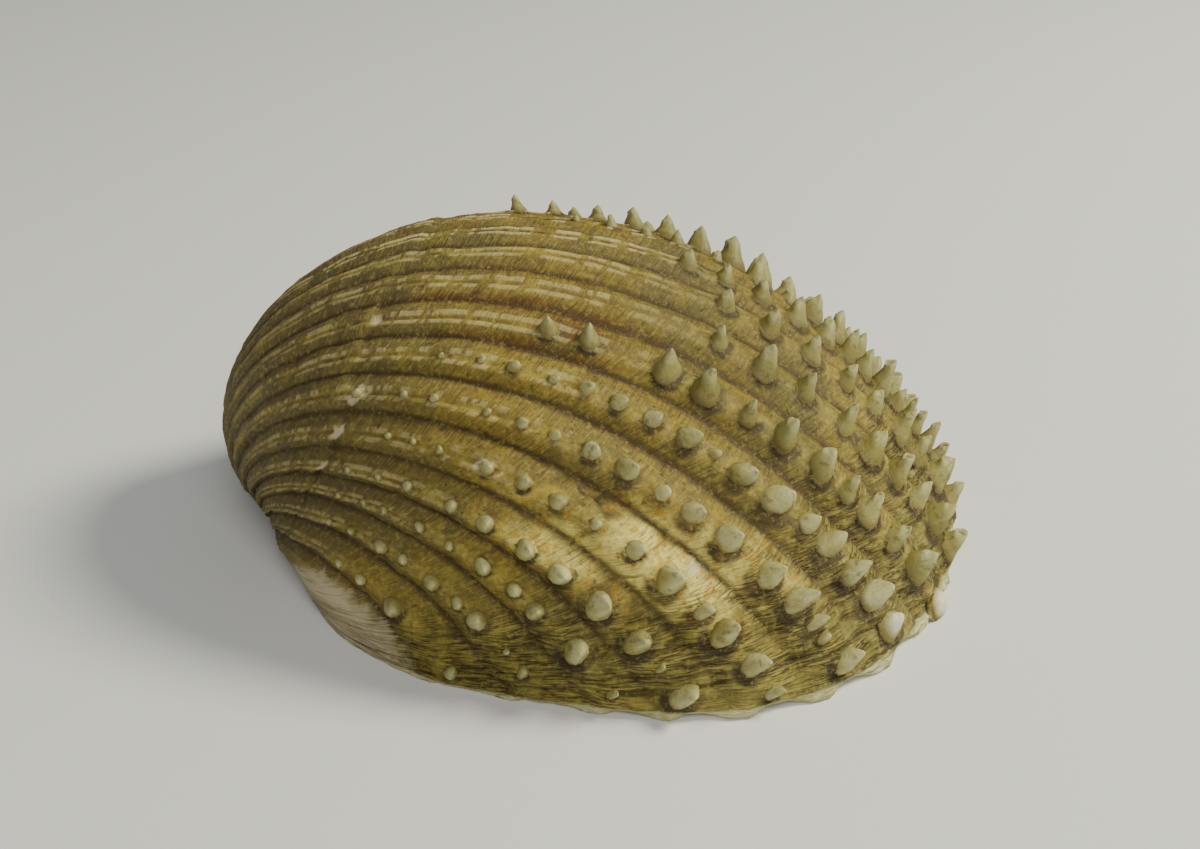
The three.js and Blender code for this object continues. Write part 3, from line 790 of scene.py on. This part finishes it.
OCHRE, TAN, PALE = lin(158, 134, 46), lin(132, 118, 56), lin(178, 162, 62)
base = g.mix(g.ramp(n_big, 0.35, 0.65), OCHRE, TAN)
base = g.mix(g.mul(g.ramp(n_mid, 0.45, 0.72), 0.55), base, PALE)
base = g.mix(g.mul(g.ramp(n_mid, 0.52, 0.30), 0.45), base, lin(110, 90, 42))
base = g.mix(g.mul(margin_a, 0.60), base, lin(158, 148, 68))
base = g.mix(g.mul(umbo_a, g.ramp(n_mid, 0.25, 0.75, 0.92, 0.50)), base, lin(98, 88, 64))
# long streaks of colour that follow the ribs
base = g.mix(g.mul(g.ramp(along, 0.5, 0.75), 0.36), base, lin(132, 98, 42))
base = g.mix(g.mul(g.mul(g.ramp(along, 0.46, 0.28), 0.45), g.ramp(u, 0.9, 0.2)), base, lin(190, 174, 72))
# paler crests
crest = g.mul(g.ramp(u, 0.42, 0.05), g.ramp(n_mid, 0.35, 0.65, 0.1, 0.55))
base = g.mix(crest, base, lin(180, 164, 74))
rag = g.add(g.mul(g.sub(n_mid, 0.5), 0.9), g.mul(g.sub(striae, 0.5), 0.6))
cream_m = g.mul(g.ramp(g.add(cream_a, rag), 0.30, 0.72), g.ramp(cream_a, 0.06, 0.25))
base = g.mix(g.mul(cream_m, 0.88), base, lin(250, 232, 128))
base = g.mix(g.mul(g.mul(g.ramp(cream_a, 0.1, 0.5), g.ramp(g.noise(geo, 700.0, 3.0, 0.55), 0.50, 0.63)), 0.66), base, lin(196, 150, 34))
# rust
stain_m = g.mul(g.ramp(g.add(stain_a, g.mul(rag, 0.8)), 0.30, 0.80), g.ramp(stain_a, 0.05, 0.25))
base = g.mix(g.mul(stain_m, 0.85), base, g.mix(g.ramp(n_mid, 0.4, 0.6), lin(96, 54, 14), lin(136, 84, 24)))
# striae
flank = g.ramp(u, 0.05, 0.6, 0.35, 1.0)
dark_stria = g.mul(g.ramp(striae, 0.50, 0.66), g.mul(flank, 0.62))
base = g.mix(dark_stria, base, lin(86, 72, 44))
base = g.mix(g.mul(g.ramp(striae_fine, 0.52, 0.70), g.mul(flank, 0.42)), base, lin(88, 70, 40))
base = g.mix(g.mul(g.ramp(striae, 0.47, 0.30), g.mul(flank, 0.30)), base, lin(196, 176, 78))
# the ragged laminae by the margin: thin wavy cracks
lam = g.noise(g.scale3(grow, 10, 10, 150, 0.7, 2.9, 1.3), 1.0, 2.0, 0.55, 0.15)
lam_line = g.ramp(g.m("ABSOLUTE", g.sub(lam, 0.5)), 0.050, 0.012)
lam_on = g.mul(g.ramp(g.noise(geo, 300.0, 1.0, 0.5), 0.40, 0.56), g.ramp(ga_s, 0.34, 0.16))
base = g.mix(g.mul(g.mul(lam_line, lam_on), 0.85), base, lin(66, 48, 22))
base = g.mix(g.mul(g.mul(g.ramp(lam, 0.58, 0.70), g.ramp(ga_s, 0.34, 0.16)), 0.55), base, lin(192, 182, 102))
# grooves: painted shade darkening the bottom of each groove
ribbed = g.ramp(g.m("ABSOLUTE", g.m("ARCTAN2", g.split3(grow)[1], g.split3(grow)[0])), 2.05, 2.3, 1.0, 0.0)
groove_shade = g.mul(g.mul(g.ramp(u, 0.74, 0.98), g.ramp(n_mid, 0.25, 0.6, 0.5, 0.95)), g.mul(ribbed, g.ramp(ga_s, 0.02, 0.30, 0.30, 1.0)))
base = g.mix(groove_shade, base, lin(72, 50, 24))
# growth cracks, and dirt with painted shade at the feet of the spines, heaviest on the side away from the light
base = g.mix(g.m("MULTIPLY", crack_a, g.ramp(n_mid, 0.3, 0.6, 0.65, 1.0), clamp=True), base, lin(58, 42, 20))
base = g.mix(g.mul(g.ramp(foot_dirt_and_shade_a, 0.08, 0.60), g.ramp(n_mid, 0.28, 0.6, 0.50, 1.0)), base, lin(68, 54, 30))
# worn crests: a dark slit between two pale broken lines
dash = g.noise(g.join3(g.mul(rib, 7.31), g.mul(ga_s, 34.0), 0.5), 1.0, 2.0, 0.6)
dash_on = g.ramp(g.add(dash, g.mul(g.sub(n_mid, 0.5), 0.35)), 0.45, 0.52)
pair = g.mul(g.ramp(u, 0.10, 0.17), g.ramp(u, 0.40, 0.31))
zone = slit_a
base = g.mix(g.mul(g.mul(pair, dash_on), g.mul(zone, 0.90)), base, lin(218, 200, 144))
core = g.mul(g.ramp(u, 0.13, 0.04), g.ramp(g.noise(g.join3(g.mul(rib, 3.7), g.mul(ga_s, 21.0), 4.5), 1.0, 2.0, 0.6), 0.42, 0.55))
base = g.mix(g.mul(core, g.mul(zone, 0.85)), base, lin(78, 54, 28))
# grain
base = g.mix(g.mul(g.ramp(n_fine, 0.50, 0.64), 0.30), base, lin(96, 76, 42))
base = g.mix(g.mul(g.ramp(n_fine, 0.47, 0.34), 0.28), base, lin(208, 192, 104))
# dirt specks
base = g.mix(g.mul(g.ramp(n_speck, 0.64, 0.74), 0.65), base, lin(70, 52, 26))
# chalky patches
white_m = g.mul(g.ramp(g.add(white_a, g.mul(rag, 0.8)), 0.34, 0.58), g.ramp(white_a, 0.10, 0.25))
base = g.mix(g.mul(white_m, 0.9), base, lin(222, 208, 168))
base = g.mix(g.mul(g.mul(bald_a, g.ramp(n_big, 0.45, 0.65)), 0.4), base, lin(210, 178, 140))
base = g.mix(g.mul(g.mul(bald_a, g.ramp(g.noise(g.scale3(grow, 5, 5, 70, 2.2, 0.6, 5.1), 1.0, 3.0, 0.62), 0.50, 0.66)), 0.75), base, lin(136, 112, 62))
# pale edge of the margin
edge_c = g.mix(g.ramp(n_mid, 0.35, 0.65), lin(232, 226, 180), lin(206, 200, 126))
base = g.mix(g.mul(g.ramp(g.add(edge_a, g.mul(g.sub(n_mid, 0.5), 0.6)), 0.22, 0.80), 0.95), base, edge_c)
# spines
sp_c1 = g.mix(rnd, lin(148, 140, 72), lin(184, 178, 112))
sp_c1 = g.mix(g.mul(g.attr("knob"), g.ramp(n_mid, 0.30, 0.62, 0.52, 0.10)), sp_c1, lin(210, 206, 160))
sp_c1 = g.mix(g.mul(g.ramp(n_mid, 0.38, 0.68), 0.5), sp_c1, lin(138, 120, 48))
sp_c1 = g.mix(g.ramp(spine_a, 0.50, 1.0, 0.0, 0.60), sp_c1, lin(210, 206, 150))
# darker towards the foot of each spine: dirt and painted shade where it meets the shell
sp_c1 = g.mix(g.ramp(spine_a, 0.44, 0.12, 0.0, 0.70), sp_c1, lin(112, 92, 44))
sp_c1 = g.mix(g.mul(g.ramp(n_speck, 0.58, 0.70), 0.5), sp_c1, lin(104, 86, 44))
# darker inside the open tips: painted shade in the hollow
sp_c1 = g.mix(g.mul(cup_shade_a, 0.8), sp_c1, lin(96, 80, 42))
sp_c1 = g.mix(g.attr("broken"), sp_c1, lin(236, 228, 196))
base = g.mix(g.ramp(spine_a, 0.06, 0.16), base, sp_c1)
# inside
porc = g.mix(g.ramp(n_big, 0.35, 0.7), lin(240, 234, 218), lin(232, 218, 196))
porc = g.mix(g.mul(g.ramp(ga_s, 0.22, 0.02), 0.5), porc, lin(222, 206, 164))
porc = g.mix(g.mul(crack_a, 0.35), porc, lin(206, 196, 180))
porc = g.mix(g.mul(g.ramp(g.noise(g.scale3(grow, 7, 7, 60), 1.0, 3.0, 0.6), 0.52, 0.72), 0.30), porc, lin(214, 196, 160))
porc = g.mix(g.mul(g.ramp(ga_s, 1.1, 2.1), 0.45), porc, lin(206, 176, 140))
# a thin film of dirt over the whole outside, thicker on the flanks, plus painted shade over the far upper ribs and on
# the near flank towards the beak
dirt_film_and_shade = g.add(g.add(g.ramp(u, 0.1, 0.7, 0.13, 0.20), g.mul(g.ramp(n_big, 0.35, 0.65), 0.06)), g.attr("painted_shade"))
dirt_film_and_shade = g.mul(dirt_film_and_shade, g.ramp(cream_a, 0.15, 0.75, 1.0, 0.25))
base = g.mix(dirt_film_and_shade, base, lin(48, 42, 12))
base = g.mix(g.ramp(inside, 0.3, 0.8), base, porc)

bsdf = g.node("ShaderNodeBsdfPrincipled")
g.set(bsdf.inputs["Base Color"], base)
rough_out = g.add(0.50, g.mul(n_mid, 0.28))
rough = g.m("SUBTRACT", rough_out, g.mul(g.ramp(spine_a, 0.1, 0.4), 0.12))
rough = g.m("SUBTRACT", rough, g.mul(inside, 0.30), clamp=True)
g.set(bsdf.inputs["Roughness"], rough)
bsdf.inputs["IOR"].default_value = 1.5
bsdf.inputs["Specular IOR Level"].default_value = 0.36

outside = g.sub(1.0, inside)
not_spine = g.sub(1.0, g.mul(g.ramp(spine_a, 0.05, 0.2), 0.8))
hgt = g.mul(striae, 0.9)
hgt = g.add(hgt, g.mul(striae_fine, 0.55))
hgt = g.mul(hgt, g.mul(g.ramp(u, 0.0, 0.5, 0.45, 1.0), not_spine))
hgt = g.add(hgt, g.mul(n_mid, 0.75))
hgt = g.add(hgt, g.mul(n_fine, 0.36))
hgt = g.add(hgt, g.mul(g.mul(lam, g.ramp(ga_s, 0.34, 0.12)), g.mul(not_spine, 3.2)))
hgt = g.sub(hgt, g.mul(g.mul(lam_line, lam_on), g.mul(not_spine, 0.9)))
hgt = g.mul(hgt, g.m("ADD", g.mul(outside, 0.94), 0.06))
bump = g.node("ShaderNodeBump")
bump.inputs["Strength"].default_value = 0.85
bump.inputs["Distance"].default_value = 0.00022
g.set(bump.inputs["Height"], hgt)
g.set(bsdf.inputs["Normal"], bump.outputs[0])
out = g.node("ShaderNodeOutputMaterial")
g.t.links.new(bsdf.outputs[0], out.inputs["Surface"])

joined.materials.clear()
joined.materials.append(g.mat)
joined.polygons.foreach_set("use_smooth", np.ones(len(joined.polygons), bool))
joined.update()

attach(shell, "root")
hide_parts("shell_valve")

# ------------------------------------------------------------------ floor, light and camera
floor_me = bpy.data.meshes.new("floor")
floor_me.from_pydata([(-3, -3, 0), (3, -3, 0), (3, 3, 0), (-3, 3, 0)], [], [(0, 1, 2, 3)])
floor = bpy.data.objects.new("floor", floor_me)
bpy.context.scene.collection.objects.link(floor)
fm = bpy.data.materials.new("floor")
fm.use_nodes = True
fb = fm.node_tree.nodes["Principled BSDF"]
fb.inputs["Base Color"].default_value = (0.78, 0.79, 0.79, 1)
fb.inputs["Roughness"].default_value = 0.85
floor_me.materials.append(fm)

world = bpy.data.worlds.new("studio")
bpy.context.scene.world = world
world.use_nodes = True
world.node_tree.nodes["Background"].inputs["Color"].default_value = (0.97, 0.98, 1.0, 1)
world.node_tree.nodes["Background"].inputs["Strength"].default_value = 0.19


def area(name, at, target, power, size_m, colour):
    li = bpy.data.lights.new(name, "AREA")
    li.shape, li.size = "DISK", size_m
    li.energy, li.color = power, colour
    ob = bpy.data.objects.new(name, li)
    ob.location = at
    ob.rotation_euler = (Vector(target) - Vector(at)).to_track_quat("-Z", "Y").to_euler()
    bpy.context.scene.collection.objects.link(ob)


area("key", (0.42, 0.14, 0.44), (0.0, 0.0, 0.01), 4.45, 0.20, (1.0, 0.98, 0.77))
area("fill", (0.16, -0.42, 0.42), (0.0, 0.0, 0.01), 1.7, 0.40, (1.0, 0.98, 0.90))

cam = bpy.data.cameras.new("camera")
cam.sensor_fit, cam.sensor_width, cam.lens = "HORIZONTAL", 36.0, 49.45
cam.clip_start, cam.clip_end = 0.005, 20
cam_ob = bpy.data.objects.new("camera", cam)
eye, aim = Vector((0.02833, -0.14338, 0.08643)), Vector((-0.00344, 0.01783, 0.0))
cam_ob.location = eye
cam_ob.rotation_euler = (aim - eye).to_track_quat("-Z", "Y").to_euler()
bpy.context.scene.collection.objects.link(cam_ob)
bpy.context.scene.camera = cam_ob
